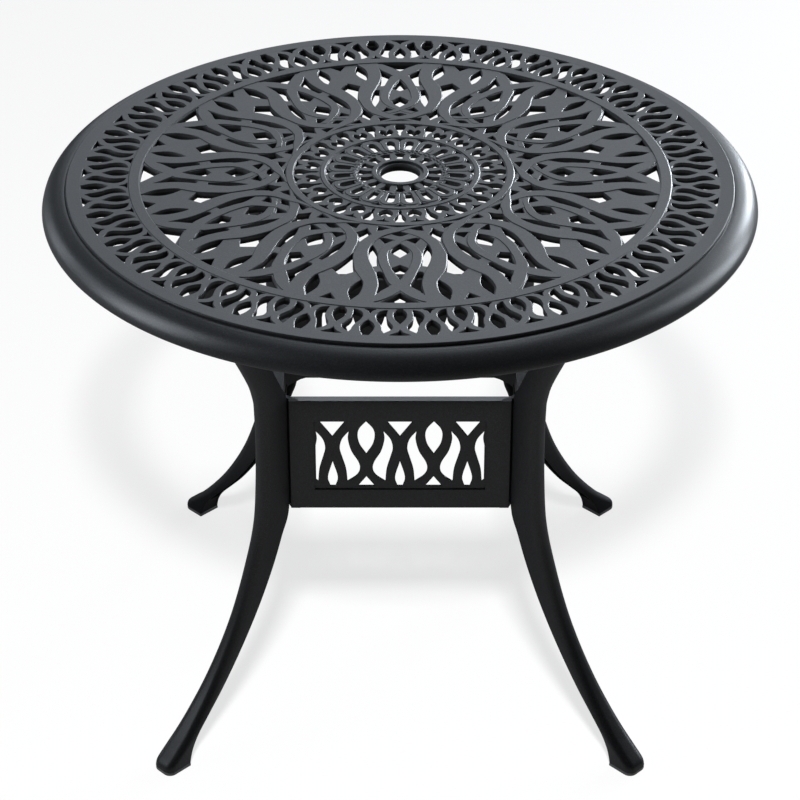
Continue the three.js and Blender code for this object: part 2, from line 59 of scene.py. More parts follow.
def floor_material():
    """Plain grey for bounced light, darker within a distance of the middle of the shade; for the camera a white glow
    with a share of diffuse that holds the shadow."""
    material = bpy.data.materials.new("floor")
    material.use_nodes = True
    nodes, links = material.node_tree.nodes, material.node_tree.links
    nodes.clear()
    output = nodes.new("ShaderNodeOutputMaterial")
    path = nodes.new("ShaderNodeLightPath")
    plain = nodes.new("ShaderNodeBsdfDiffuse")
    place = nodes.new("ShaderNodeTexCoord")
    away = nodes.new("ShaderNodeVectorMath")
    away.operation = "DISTANCE"
    away.inputs[1].default_value = shade_middle
    links.new(place.outputs["Object"], away.inputs[0])
    shade = nodes.new("ShaderNodeMapRange")
    shade.inputs["From Min"].default_value = shade_start
    shade.inputs["From Max"].default_value = shade_end
    shade.inputs["To Min"].default_value = floor_shade
    shade.inputs["To Max"].default_value = floor_grey
    links.new(away.outputs["Value"], shade.inputs["Value"])
    links.new(shade.outputs["Result"], plain.inputs["Color"])
    glow = nodes.new("ShaderNodeEmission")
    glow.inputs["Strength"].default_value = floor_glow
    lit = nodes.new("ShaderNodeBsdfDiffuse")
    lit.inputs["Color"].default_value = (floor_lit, floor_lit, floor_lit, 1)
    seen = nodes.new("ShaderNodeAddShader")
    links.new(glow.outputs[0], seen.inputs[0])
    links.new(lit.outputs[0], seen.inputs[1])
    switch = nodes.new("ShaderNodeMixShader")
    links.new(path.outputs["Is Camera Ray"], switch.inputs[0])
    links.new(plain.outputs[0], switch.inputs[1])
    links.new(seen.outputs[0], switch.inputs[2])
    links.new(switch.outputs[0], output.inputs["Surface"])
    return material


def square_floor(half_width):
    """Four corners of a square at the height of the glides' undersides."""
    mesh = bpy.data.meshes.new("floor")
    corners = half_width * np.array([(-1, -1, 0), (1, -1, 0), (1, 1, 0), (-1, 1, 0)])
    mesh.from_pydata(corners.tolist(), [], [(0, 1, 2, 3)])
    return bpy.data.objects.new("floor", mesh)


floor = square_floor(floor_half_width)
floor.data.materials.append(floor_material())
bpy.context.scene.collection.objects.link(floor)
lamp_target = np.array([0, 0, 0.7])


def soft_lamp(name, place, width, height, watts, colour=(1, 1, 1)):
    """A rectangular lamp at the place, turned to face the middle of the tabletop."""
    lamp = bpy.data.objects.new(name, bpy.data.lights.new(name, "AREA"))
    lamp.data.shape = "RECTANGLE"
    lamp.data.size, lamp.data.size_y = width, height
    lamp.data.energy = watts
    lamp.data.color = colour
    lamp.location = place
    aim = lamp_target - place
    lamp.rotation_euler = (np.arctan2(np.hypot(*aim[:2]), -aim[2]), 0, np.arctan2(-aim[0], aim[1]))
    lamp.visible_camera = False
    bpy.context.scene.collection.objects.link(lamp)
    return lamp


# Each lamp's place, width, height, watts and colour. Those that are kept as a value light only some pieces, which are
# linked to them in the pieces' own sections.
cool_white = (0.86, 0.93, 1.0)
soft_lamp("back panel", (0.45, 3.2, 2.0), 4.2, 2.8, 37, cool_white)
rear_overhead = soft_lamp("rear overhead", (0.2, 1.8, 3.2), 1.6, 1.2, 27, cool_white)
soft_lamp("glint strip", (2.0, 2.4, 1.2), 0.6, 1.0, 50, cool_white)
edge_strip = soft_lamp("edge strip", (1.5, 2.6, 1.25), 0.5, 0.5, 30, cool_white)
soft_lamp("right strip", (2.8, 1.4, 1.2), 0.7, 1.2, 27, cool_white)
right_panel = soft_lamp("right panel", (2.7, 0.6, 2.0), 1.0, 1.8, 31, cool_white)
low_strip = soft_lamp("low back strip", (0, 3.0, 1.15), 2.0, 0.5, 11, cool_white)
soft_lamp("left strip", (-2.6, 1.6, 1.2), 0.6, 1.4, 9, cool_white)
left_panel = soft_lamp("left panel", (-2.6, -0.3, 2.0), 1.2, 2.0, 36, cool_white)
soft_lamp("weak left panel", (-2.6, -0.6, 1.6), 1.0, 1.4, 13, cool_white)

# The shadow lamp lights the floor alone. It stands far off in front, so the tabletop's shadow comes out a tenth
# larger than the top.
shadow_lamp = soft_lamp("shadow lamp", (0, -6.09, 7.69), 0.95, 0.95, 2900)
floor_alone = bpy.data.collections.new("floor alone")
floor_alone.objects.link(floor)
shadow_lamp.light_linking.receiver_collection = floor_alone


def studio_sky():
    """White for the camera, a soft grey for the light that the table gathers."""
    world = bpy.data.worlds.new("studio")
    bpy.context.scene.world = world
    world.use_nodes = True
    nodes, links = world.node_tree.nodes, world.node_tree.links
    nodes.clear()
    output = nodes.new("ShaderNodeOutputWorld")
    path = nodes.new("ShaderNodeLightPath")
    soft = nodes.new("ShaderNodeBackground")
    soft.inputs["Strength"].default_value = sky_strength
    white = nodes.new("ShaderNodeBackground")
    white.inputs["Strength"].default_value = 1
    for light in (soft, white):
        light.inputs["Color"].default_value = (1, 1, 1, 1)
    switch = nodes.new("ShaderNodeMixShader")
    links.new(path.outputs["Is Camera Ray"], switch.inputs[0])
    links.new(soft.outputs[0], switch.inputs[1])
    links.new(white.outputs[0], switch.inputs[2])
    links.new(switch.outputs[0], output.inputs["Surface"])


studio_sky()
bpy.context.scene.view_settings.view_transform = "Standard"

# Tabletop: one pierced aluminium casting, shot-blasted and powder coated in charcoal with a fine speckle.
# The lattice is flat-topped and about 9 mm deep, a plain band runs round it, and the rim rolls over and down
# to a thin lip. Four bosses under the bead ring take the leg bolts.
table_height = 0.717
crown_rise = 0.0024
band_outer, band_inner = 0.4197, 0.4014
bead_outer, bead_inner = 0.342, 0.327
inner_ring_outer, inner_ring_inner = 0.1445, 0.1343
second_ring_outer, second_ring_inner = 0.1013, 0.094
rope_outer, rope_inner = 0.062, 0.0535
hub_radius, pole_hole_radius = 0.0357, 0.025
lattice_depth, medallion_depth, hub_depth = 0.009, 0.0068, 0.0125
lattice_sink, hub_sink = 0.0010, 0.0018
border_units, lattice_units, medallion_units, hub_units = 32, 12, 20, 16
coat_dark = (0.01302, 0.01395, 0.0155, 1)
coat_colour = (0.021, 0.0225, 0.025, 1)
coat_speck = (0.048, 0.051, 0.055, 1)
# Painted shade in the holes: the height over which it fades in, and how dark the colour gets below that.
painted_shade_fade, painted_shade_level = 0.0045, 0.2

# A cast edge is rounded by two cuts of its size, which meet at these shares of it in from the wall and down.
cast_edge, ring_edge, strand_edge = 0.0009, 0.0012, 0.0011
cut_in, cut_down = 0.12, 0.62


def powder_coat(name, painted_shade_height=None):
    """Satin polyester coat: a fine salt-and-pepper speckle in the colour, an orange-peel bump, and slow changes of
    gloss over a hand's width. Below the given height the colour is darkened and the roughness raised: painted shade
    that stands in for the shade deep in the holes of a casting."""
    material = bpy.data.materials.new(name)
    material.use_nodes = True
    nodes, links = material.node_tree.nodes, material.node_tree.links
    shader = nodes["Principled BSDF"]
    place = nodes.new("ShaderNodeTexCoord")
    speck = nodes.new("ShaderNodeTexNoise")
    speck.inputs["Scale"].default_value = 640
    speck.inputs["Detail"].default_value = 3
    speck.inputs["Roughness"].default_value = 0.75
    links.new(place.outputs["Object"], speck.inputs["Vector"])
    spread = nodes.new("ShaderNodeValToRGB")
    stops = spread.color_ramp.elements
    stops[0].position, stops[0].color = 0.36, coat_dark
    stops[1].position, stops[1].color = 0.72, coat_speck
    stops.new(0.52).color = coat_colour
    links.new(speck.outputs["Fac"], spread.inputs["Fac"])
    colour = spread.outputs["Color"]
    drift = nodes.new("ShaderNodeTexNoise")
    drift.inputs["Scale"].default_value = 9
    drift.inputs["Detail"].default_value = 2
    links.new(place.outputs["Object"], drift.inputs["Vector"])
    gloss = nodes.new("ShaderNodeMapRange")
    gloss.inputs["To Min"].default_value = 0.33
    gloss.inputs["To Max"].default_value = 0.44
    links.new(drift.outputs["Fac"], gloss.inputs["Value"])
    roughness = gloss.outputs["Result"]
    # Painted shade: below the height the colour is scaled down to the shade level and the roughness raised, in place
    # of the shade that falls deep in the holes.
    if painted_shade_height:
        height = nodes.new("ShaderNodeSeparateXYZ")
        links.new(place.outputs["Object"], height.inputs["Vector"])
        light = nodes.new("ShaderNodeMapRange")
        light.inputs["From Min"].default_value = painted_shade_height - painted_shade_fade
        light.inputs["From Max"].default_value = painted_shade_height
        light.inputs["To Min"].default_value = painted_shade_level
        links.new(height.outputs["Z"], light.inputs["Value"])
        darker = nodes.new("ShaderNodeVectorMath")
        darker.operation = "SCALE"
        links.new(colour, darker.inputs[0])
        links.new(light.outputs["Result"], darker.inputs["Scale"])
        duller = nodes.new("ShaderNodeMath")
        duller.operation = "DIVIDE"
        duller.use_clamp = True
        links.new(roughness, duller.inputs[0])
        links.new(light.outputs["Result"], duller.inputs[1])
        colour, roughness = darker.outputs["Vector"], duller.outputs["Value"]
    links.new(colour, shader.inputs["Base Color"])
    links.new(roughness, shader.inputs["Roughness"])
    peel = nodes.new("ShaderNodeTexNoise")
    peel.inputs["Scale"].default_value = 420
    peel.inputs["Detail"].default_value = 2
    links.new(place.outputs["Object"], peel.inputs["Vector"])
    bump = nodes.new("ShaderNodeBump")
    bump.inputs["Strength"].default_value = 0.25
    bump.inputs["Distance"].default_value = 0.0004
    links.new(peel.outputs["Fac"], bump.inputs["Height"])
    links.new(bump.outputs["Normal"], shader.inputs["Normal"])
    return material


def smooth_outline(points, corners=(), steps=4):
    """A closed outline through the points: between two of them a cubic runs from one tangent to the next, where a
    point's tangent is half the step between its neighbours, or the straight side itself at a corner."""
    p = np.asarray(points, float)
    after, before = np.roll(p, -1, 0), np.roll(p, 1, 0)
    sharp = np.isin(np.arange(len(p)), corners)[:, None]
    leave = np.where(sharp, after - p, (after - before) / 2)
    arrive = np.roll(np.where(sharp, p - before, (after - before) / 2), -1, 0)
    t = np.linspace(0, 1, steps, endpoint=False)[None, :, None]
    curve = (2 * t**3 - 3 * t**2 + 1) * p[:, None] + (t**3 - 2 * t**2 + t) * leave[:, None]
    curve = curve + (3 * t**2 - 2 * t**3) * after[:, None] + (t**3 - t**2) * arrive[:, None]
    return curve.reshape(-1, 2)


def ring_of_outlines(motifs, units):
    """Each motif is (outline, corners, mirrored) in degrees and millimetres of radius; it is repeated round the
    circle at equal turns, with x = r sin a and y = -r cos a, so that 0 degrees is at the front."""
    outlines = []
    turn = np.arange(units)[:, None] * 360 / units
    for points, corners, mirrored in motifs:
        outline = smooth_outline(points, corners)
        for side in (1, -1) if mirrored else (1,):
            angle = np.radians(turn + side * outline[:, 0])
            radius = np.broadcast_to(outline[:, 1] / 1000, angle.shape)
            outlines.extend(np.stack([radius * np.sin(angle), -radius * np.cos(angle)], 2))
    return outlines


def circle(radius, steps=288):
    """Points at equal angles on a circle."""
    a = np.linspace(0, 2 * np.pi, steps, endpoint=False)
    return radius * np.stack([np.sin(a), -np.cos(a)], 1)


def winding(outline):
    """Twice the signed area: the sum of x times the step in y minus y times the step in x."""
    x, y = outline.T
    return np.sum(x * np.roll(y, -1) - y * np.roll(x, -1))


def pierced_plate(name, boundary, holes, bottom, top, edge, creases=()):
    """A flat plate that fills the boundary apart from the holes. Each outline is carried down its wall at four
    levels, stepped into the plate along its own normals: twice at the upper edge, which rounds it, and again at the
    bottom, which gives the wall its draft. The two faces are filled with triangles between the outlines, which also
    have corners along the creases."""
    inside_only, merge_distance = 1, 1e-9
    outlines = [boundary if winding(boundary) > 0 else boundary[::-1]]
    outlines += [hole if winding(hole) < 0 else hole[::-1] for hole in holes]
    sizes = np.array([len(outline) for outline in outlines])
    starts = np.repeat(np.cumsum(sizes) - sizes, sizes)
    flat = np.vstack(outlines)
    count = len(flat)
    number = np.arange(count)
    after = starts + (number - starts + 1) % np.repeat(sizes, sizes)
    before = starts + (number - starts - 1) % np.repeat(sizes, sizes)
    step = flat[after] - flat
    side = np.column_stack([-step[:, 1], step[:, 0]]) / np.linalg.norm(step, axis=1, keepdims=True)
    inward = side + side[before]
    inward /= np.maximum(np.sum(inward**2, 1, keepdims=True) / 2, 0.5)
    levels = [(1, top), (cut_in, top - cut_down * edge), (0, top - edge), (1, bottom)]
    walls = np.vstack([np.column_stack([flat + inset * edge * inward, np.full(count, z)]) for inset, z in levels])
    low = (np.arange(len(levels) - 1) * count)[:, None]
    faces = np.stack([low + number, low + count + number, low + count + after, low + after], 2).reshape(-1, 4)
    cap = flat + edge * inward
    loops = [loop.tolist() if n == 0 else loop[::-1].tolist()
             for n, loop in enumerate(np.split(number, np.cumsum(sizes)[:-1]))]
    folds = []
    for crease in creases:
        ends = len(cap) + np.arange(len(crease))
        folds += np.column_stack([ends, np.roll(ends, -1)]).tolist()
        cap = np.vstack([cap, crease])
    points, _, triangles, _, _, within = mathutils.geometry.delaunay_2d_cdt(
        [mathutils.Vector(row) for row in cap.tolist()], folds, loops, inside_only, merge_distance)
    solid = np.array([len(outlines_round) for outlines_round in within]) == 1
    cap, triangles = np.array(points), np.array(triangles)[solid]
    first = len(walls)
    walls = np.vstack([walls, np.column_stack([cap, np.full(len(cap), top)]),
                       np.column_stack([cap, np.full(len(cap), bottom)])])
    mesh = bpy.data.meshes.new(name)
    mesh.from_pydata(walls.tolist(), [], faces.tolist() + (triangles + first).tolist()
                     + (triangles[:, ::-1] + first + len(cap)).tolist())
    return mesh


def mesh_points(mesh):
    """The mesh's vertices as an array of rows."""
    points = np.empty(len(mesh.vertices) * 3)
    mesh.vertices.foreach_get("co", points)
    return points.reshape(-1, 3)


def place_round(mesh, angle, points=None):
    """Turns the mesh's points, or the new places given for them, about the Z axis by the angle."""
    x, y, z = (mesh_points(mesh) if points is None else points).T
    c, s = np.cos(angle), np.sin(angle)
    mesh.vertices.foreach_set("co", np.column_stack([x * c - y * s, x * s + y * c, z]).ravel())
    return mesh


def swept(name, rings, capped=False):
    """A surface from an array of rings, each a closed section of the same number of points: neighbouring rings and
    neighbouring points make its faces. The last ring is joined to the first, or if capped both are closed."""
    count, size = rings.shape[:2]
    i = np.arange(count - 1 if capped else count)[:, None]
    j = np.arange(size)[None, :]
    a, b = i * size + j, i * size + (j + 1) % size
    c, d = (i + 1) % count * size + (j + 1) % size, (i + 1) % count * size + j
    faces = np.stack([a, b, c, d], 2).reshape(-1, 4).tolist()
    if capped:
        faces += [np.arange(size)[::-1].tolist(), (np.arange(size) + (count - 1) * size).tolist()]
    mesh = bpy.data.meshes.new(name)
    mesh.from_pydata(rings.reshape(-1, 3).tolist(), [], faces)
    return mesh


def turned(name, profile, steps=288):
    """A closed profile of (radius, height) points carried round the Z axis."""
    a = np.linspace(0, 2 * np.pi, steps, endpoint=False)[:, None]
    r, z = np.asarray(profile, float).T
    rings = np.stack([r * np.sin(a), -r * np.cos(a), np.broadcast_to(z, (steps, len(z)))], 2)
    return swept(name, rings)


def rounded_bar(inner, outer, bottom, top, edge):
    """The profile of a flat ring: a rectangle whose upper corners are cut back twice, as a cast edge is."""
    meet_in, meet_height = cut_in * edge, top - cut_down * edge
    return [
        (inner, bottom), (outer, bottom), (outer, top - edge), (outer - meet_in, meet_height), (outer - edge, top),
        (inner + edge, top), (inner + meet_in, meet_height), (inner, top - edge),
    ]


weld_distance, crisp_angle = 2e-6, 14


def one_piece(name, meshes, material, sharp=40, crisp=()):
    """Joins meshes into one object, turns every shell's faces outwards, and shades it smooth over bends up to the
    sharp angle in degrees, or for the crisp ones up to a smaller one that keeps their cut-back edges."""
    whole = bmesh.new()
    for mesh in [*meshes, *crisp]:
        shell = bmesh.new()
        shell.from_mesh(mesh)
        bmesh.ops.remove_doubles(shell, verts=shell.verts, dist=weld_distance)
        bmesh.ops.recalc_face_normals(shell, faces=shell.faces)
        shell.to_mesh(mesh)
        shell.free()
        mesh.shade_smooth()
        mesh.set_sharp_from_angle(angle=np.radians(crisp_angle if mesh in crisp else sharp))
        whole.from_mesh(mesh)
        bpy.data.meshes.remove(mesh)
    mesh = bpy.data.meshes.new(name)
    whole.to_mesh(mesh)
    whole.free()
    mesh.materials.append(material)
    piece = bpy.data.objects.new(name, mesh)
    bpy.context.scene.collection.objects.link(piece)
    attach(piece, "root")
    return piece


border_motifs = [
    ([(2.67, 395.1), (2.97, 390), (3.05, 385), (3.5, 374.5), (3.95, 369.7), (4.35, 360.7), (4.27, 354),
      (3.8, 348.8), (2.98, 345.8), (2.43, 345), (2.52, 352.5), (2.54, 359.2), (2.29, 366.6), (1.74, 374),
      (1.33, 380), (1.37, 385.6), (1.73, 389.4)], (0, 9), True),
    ([(0, 374.7), (-0.57, 368.8), (-1.05, 362), (-1.2, 355.5), (-1.05, 349), (-0.48, 342.6), (0.48, 342.6),
      (1.05, 349), (1.2, 355.5), (1.05, 362), (0.57, 368.8)], (0, 5, 6), False),
    ([(5.625, 367.3), (4.94, 372.7), (4.46, 380), (4.45, 385), (4.6, 391), (5.1, 400.6), (6.15, 400.6),
      (6.65, 391), (6.8, 385), (6.79, 380), (6.31, 372.7)], (0, 5, 6), False),
    ([(0, 388.6), (-0.5, 394.5), (-1.74, 400.6), (1.74, 400.6), (0.5, 394.5)], (0, 2, 3), False),
    ([(5.625, 352.2), (5.2, 346), (4.5, 342.8), (6.75, 342.8), (6.05, 346)], (0, 2, 3), False),
]
lattice_motifs = [
    ([(-4.1, 326.2), (-2.0, 314), (0, 303), (2.0, 314), (4.1, 326.2)], (0, 2, 4), False),
    ([(13.3, 326.4), (15, 313), (16.7, 326.4)], (0, 1, 2), False),
    ([(10.3, 323.7), (8.75, 305), (8.7, 290), (9.2, 274), (11.0, 290), (11.4, 305)], (0, 3), True),
    ([(5, 304.4), (2.8, 292), (2.7, 279), (3.4, 267), (4.9, 256), (6.1, 258.5), (5.4, 276), (5.4, 291)],
     (0,), True),
    ([(0, 271.8), (1.2, 257), (2.4, 246.2), (0, 238.5), (-2.4, 246.2), (-1.2, 257)], (0, 2, 3, 4), False),
    ([(7.8, 243.6), (6.5, 241.4), (6.95, 230), (7.2, 220.5), (7.45, 212.4), (8.25, 203.5), (9.8, 192.6),
      (10.45, 201), (10.1, 213.8), (9.55, 223.1), (8.85, 232.5)], (0, 1, 4, 6), True),
    ([(3.0, 208), (0, 220), (-3.0, 208), (-2.65, 200.5), (-1.6, 192.6), (0, 185), (1.6, 192.6), (2.65, 200.5)],
     (0, 1, 2, 5), False),
    ([(7.9, 176), (5.6, 187), (2.7, 178.5), (5, 173.7)], (0, 1, 2), True),
    ([(3.6, 163), (0, 168.5), (-3.6, 163), (0, 159)], (0, 2), False),
    ([(10.2, 157), (10.2, 147.5), (2.7, 151)], (0, 1, 2), True),
    ([(7.3, 145.4), (0, 145.0), (-7.3, 145.4), (0, 146.5)], (0, 2), False),
    ([(15, 188), (13.8, 177), (11.8, 168), (13.6, 161), (15, 154), (16.4, 161), (18.2, 168), (16.2, 177)],
     (0, 2, 4, 6), False),
    ([(15, 271), (11.3, 255.5), (13, 238), (15, 217), (17, 238), (18.7, 255.5)], (0, 1, 3, 5), False),
]
medallion_motifs = [
    ([(9, 102.4), (6.9, 104.7), (5.2, 109), (4.7, 114), (5.6, 118.4), (6.9, 119.3), (9, 113.6), (11.1, 119.3),
      (12.4, 118.4), (13.3, 114), (12.8, 109), (11.1, 104.7)], (0, 6), False),
    ([(0, 102.7), (0.75, 106), (0.75, 112), (1.7, 117.5), (2.75, 122.5), (3.05, 127.5), (2.15, 133.4),
      (-2.15, 133.4), (-3.05, 127.5), (-2.75, 122.5), (-1.7, 117.5), (-0.75, 112), (-0.75, 106)], (0, 6, 7), False),
    ([(9, 124.8), (9.8, 130), (12.8, 133.5), (5.2, 133.5), (8.2, 130)], (0, 2, 3), False),
]
loop_motifs = [
    ([(5.2, 63.4), (12.8, 63.4), (12.8, 76), (12.1, 81.6), (9, 84.4), (5.9, 81.6), (5.2, 76)], (0, 1), False),
    ([(0, 86.4), (1.4, 90), (4.6, 92.9), (-4.6, 92.9), (-1.4, 90)], (0, 2, 3), False),
]
hub_motifs = [
    ([(-5.2, 36.4), (0, 36), (5.2, 36.4), (4.4, 42), (7.0, 51), (0, 52.8), (-7.0, 51), (-4.4, 42)],
     (0, 2, 4, 6), False),
]


def crown(radius):
    """The rise of the lattice: nothing at the bead ring, growing evenly to the full crown at the inner ring and
    level from there inwards."""
    return crown_rise * np.clip((bead_inner - radius) / (bead_inner - inner_ring_outer), 0, 1)


# The plate's upper face is sunk inside the bead ring and deeper inside the rope ring, and its lower face is raised in
# the medallion, which is thinner, and further round the hub. The plate runs on under the band and into the hub.
crease_radii = (rope_inner + 0.0005, rope_outer + 0.0005, bead_inner + 0.0003, bead_outer - 0.0008)
thin_radii, thin_rise = (0.096, 0.100, 0.137, 0.141), (0.0032, 0.0020, 0.0020, 0)
band_lap, hub_lap = 0.004, 0.003


def settled(mesh):
    """Lifts the plate by the crown and sinks it between the rings, so that strands and rings stand proud of it."""
    points = mesh_points(mesh)
    radius = np.hypot(points[:, 0], points[:, 1])
    sink = np.interp(radius, crease_radii, (hub_sink, lattice_sink, lattice_sink, 0))
    lower = points[:, 2] < table_height - lattice_depth / 2
    points[:, 2] += crown(radius) - sink + np.where(lower, np.interp(radius, thin_radii, thin_rise), 0)
    mesh.vertices.foreach_set("co", points.ravel())
    return mesh


lattice_holes = [
    *ring_of_outlines(border_motifs, border_units),
    *ring_of_outlines(lattice_motifs, lattice_units),
    *ring_of_outlines(medallion_motifs, medallion_units),
    *ring_of_outlines(loop_motifs, medallion_units),
    *ring_of_outlines(hub_motifs, hub_units),
]
creases = [circle(radius) for radius in (*crease_radii, *thin_radii[2:])]
lattice = settled(pierced_plate(
    "lattice", circle(band_inner + band_lap), [circle(hub_radius - hub_lap), *lattice_holes],
    table_height - lattice_depth, table_height, cast_edge, creases))

# The edges of the raised strands in one lattice unit, in millimetres to the right of the unit's middle and out from
# the table's, and below them how far each strand's top lies under the crown at shares of its length, with 1 for the
# strand as drawn and -1 for its mirror image.
broad_strand = (
    [(-60.5, 325.5), (-57.6, 319.2), (-49.3, 308.3), (-45.1, 295), (-43.9, 280), (-45.9, 271.7), (-53.4, 251.7),
     (-55.9, 235), (-56.4, 215), (-55.1, 208.3), (-52.6, 200), (-49.3, 188.3), (-47.6, 183.3), (-38.4, 168.3),
     (-27.6, 160), (-19.3, 153.3), (-5.9, 148.3), (9.1, 145), (29.1, 138.3)],
    [(-30.5, 329.6), (-29.3, 320), (-27.3, 303.3), (-25.1, 285), (-26.8, 266.7), (-30.9, 248.3), (-35.9, 228.3),
     (-37.6, 208.3), (-34.3, 191.7), (-27.3, 178.3), (-20.9, 170.8), (-12.6, 165), (0.7, 158.3), (12.4, 150.8),
     (29.1, 143.3)],
)
drop_strand = (
    [(-41, 327.5), (-27.6, 324.2), (-12.6, 314.2), (-0.1, 300), (9.1, 287.5), (14.1, 280), (20.7, 255),
     (23.7, 243.3), (26.1, 231.7), (27.1, 218.3), (26.1, 210), (23.2, 200.8), (19.1, 193.3), (12.4, 185), (-0.1, 175),
     (-5.9, 170.8), (-14.2, 166.7)],
    [(-38, 314), (-29.3, 309.2), (-22.6, 299.2), (-14.2, 290), (-6.7, 280), (-0.1, 273.3), (6.7, 258.3),
     (10.6, 243.3), (13.1, 231.7), (14.2, 218.3), (13.9, 210), (10.1, 200), (-0.1, 187.5), (-7.6, 179.2),
     (-20.9, 173.3)],
)
strand_heights = (
    (broad_strand, 1, [(0, 0.1), (0.6, 0.1), (0.8, 0), (0.93, 0.1), (1, 0.6)]),
    (broad_strand, -1, [(0, 0.1), (0.6, 0.1), (0.8, 0.6), (1, 0.7)]),
    (drop_strand, 1, [(0, 0.12), (0.2, 0.12), (0.5, 0.15), (0.85, 0.6), (1, 0.7)]),
    (drop_strand, -1, [(0, 0.15), (0.2, 0.15), (0.5, 0.15), (0.85, 0.1), (1, 0.7)]),
)
strand_steps, loop_steps = 56, 34
strand_lift, loop_below = 0.0004, 0.0002


def along_rows(rows, steps):
    """Cubics through the rows, each running from one row's tangent to the next, where a tangent is half the step
    between the neighbouring rows."""
    before = np.vstack([rows[:1], rows[:-1]])
    after = np.vstack([rows[1:], rows[-1:]])
    tangent = (after - before) / 2
    t = np.linspace(0, 1, steps, endpoint=False)[None, :, None]
    a, b, ta, tb = rows[:-1, None], rows[1:, None], tangent[:-1, None], tangent[1:, None]
    curve = (2 * t**3 - 3 * t**2 + 1) * a + (t**3 - 2 * t**2 + t) * ta
    curve = curve + (3 * t**2 - 2 * t**3) * b + (t**3 - t**2) * tb
    return np.vstack([curve.reshape(-1, rows.shape[1]), rows[-1:]])


def evenly(points, count):
    """Points at equal shares of the length of the smooth line through the given ones."""
    line = along_rows(np.array(points) / 1000, 10)
    length = np.concatenate([[0], np.cumsum(np.linalg.norm(np.diff(line, axis=0), axis=1))])
    at = np.linspace(0, length[-1], count)
    return np.column_stack([np.interp(at, length, line[:, 0]), np.interp(at, length, line[:, 1])])


def strand(name, left, right, below, turn, edge, depth):
    """A bar between two edge lines: its section is a rectangle across from one line to the other, with the upper
    corners cut back twice. Below is its top's depth under the crown along the line, and its underside is lifted a
    little from the plate's."""
    across = (right - left) / np.linalg.norm(right - left, axis=1, keepdims=True)
    inset = np.array([0, 0, cut_in, 1, -1, -cut_in, 0, 0]) * edge
    fall = np.array([0, 1, cut_down, 0, 0, cut_down, 1, 0]) * edge
    side = np.array([0, 0, 0, 0, 1, 1, 1, 1])[None, :, None]
    plan = left[:, None] * (1 - side) + right[:, None] * side + across[:, None] * inset[None, :, None]
    rise = table_height + crown(np.linalg.norm(plan, axis=2))
    z = rise - below[:, None] - fall
    z[:, [0, 7]] = rise[:, [0, 7]] - depth + strand_lift
    return place_round(swept(name, np.stack([plan[:, :, 0], -plan[:, :, 1], z], 2), capped=True), turn)


strands = []
for edges, mirror, heights in strand_heights:
    left, right = (evenly(line, strand_steps) * (mirror, 1) for line in edges)
    share, depth = np.array(heights).T
    below = np.interp(np.linspace(0, 1, strand_steps), share, depth) / 1000
    strands += [strand("strand", left, right, below, 2 * np.pi * unit / lattice_units, strand_edge, lattice_depth)
                for unit in range(lattice_units)]

# The loops of the medallion: the outer and the inner edge of one, in degrees and millimetres of radius.
loop_edges = (
    [(0.2, 60), (0.2, 80), (1.2, 85.5), (4.5, 89.7), (9, 90.7), (13.5, 89.7), (16.8, 85.5), (17.8, 80), (17.8, 60)],
    [(5.2, 60), (5.2, 76), (5.9, 81.6), (9, 84.4), (12.1, 81.6), (12.8, 76), (12.8, 60)],
)
outer, inner = (evenly([(r * np.sin(np.radians(a)), r * np.cos(np.radians(a))) for a, r in edge], loop_steps)
                for edge in loop_edges)
strands += [strand("loop", outer, inner, np.full(loop_steps, loop_below), 2 * np.pi * unit / medallion_units,
                   cast_edge, medallion_depth) for unit in range(medallion_units)]

# The plain band with a groove beside it, and the rim, which rolls over and down from there to a thin lip and back
# inside. The rim's points are a radius and the millimetres below the top.
band_profile = [
    (band_inner, table_height - lattice_depth), (band_inner, table_height - 0.0008),
    (band_inner + 0.0003, table_height - 0.0002), (band_inner + 0.0009, table_height + 0.0001),
    (band_outer - 0.0012, table_height + 0.0001), (band_outer - 0.0004, table_height - 0.0003),
    (band_outer, table_height - 0.0011), (band_outer - 0.0002, table_height - 0.0046),
    (band_outer + 0.0007, table_height - 0.0050), (band_outer + 0.0014, table_height - 0.0042),
]
rim_points = [
    (0.4224, 4.2), (0.4315, 6.9), (0.4385, 10.3), (0.4440, 15.0), (0.4480, 20.6), (0.4501, 26.5), (0.4504, 29.6),
    (0.4489, 32.2), (0.4455, 34.3), (0.4412, 34.3), (0.4400, 32.4), (0.4421, 28.0), (0.4415, 23.0),
    (0.4368, 17.6), (0.4280, 14.6), (0.4172, 12.2),
]
rim_corners, rim_steps = (0, 8, 9, 15), 3
rim_sweep = smooth_outline(rim_points, rim_corners, rim_steps)[:(len(rim_points) - 1) * rim_steps + 1]
rim_profile = [(r, table_height - depth / 1000) for r, depth in rim_sweep]
rim = turned("rim", band_profile + rim_profile)

bead_ring = turned("bead ring", rounded_bar(
    bead_inner + 0.0002, bead_outer - 0.0002, table_height - lattice_depth, table_height + 0.0007, ring_edge))
ring_top = table_height + crown_rise - 0.0001
inner_ring = turned("inner ring", rounded_bar(
    inner_ring_inner, inner_ring_outer, ring_top - lattice_depth, ring_top, ring_edge))
second_ring = turned("second ring", rounded_bar(
    second_ring_inner, second_ring_outer, ring_top - medallion_depth, ring_top, ring_edge))
hub = turned("hub", [
    (pole_hole_radius, ring_top - hub_depth), (hub_radius - 0.001, ring_top - hub_depth),
    (hub_radius, ring_top - medallion_depth), (hub_radius + 0.0004, ring_top - 0.0012),
    (hub_radius - 0.0004, ring_top - 0.0003), (hub_radius - 0.0014, ring_top),
    (pole_hole_radius + 0.0050, ring_top), (pole_hole_radius + 0.0043, ring_top - 0.0006),
    (pole_hole_radius + 0.0043, ring_top - 0.003), (pole_hole_radius + 0.0006, ring_top - 0.003),
    (pole_hole_radius, ring_top - 0.0036),
], steps=144)


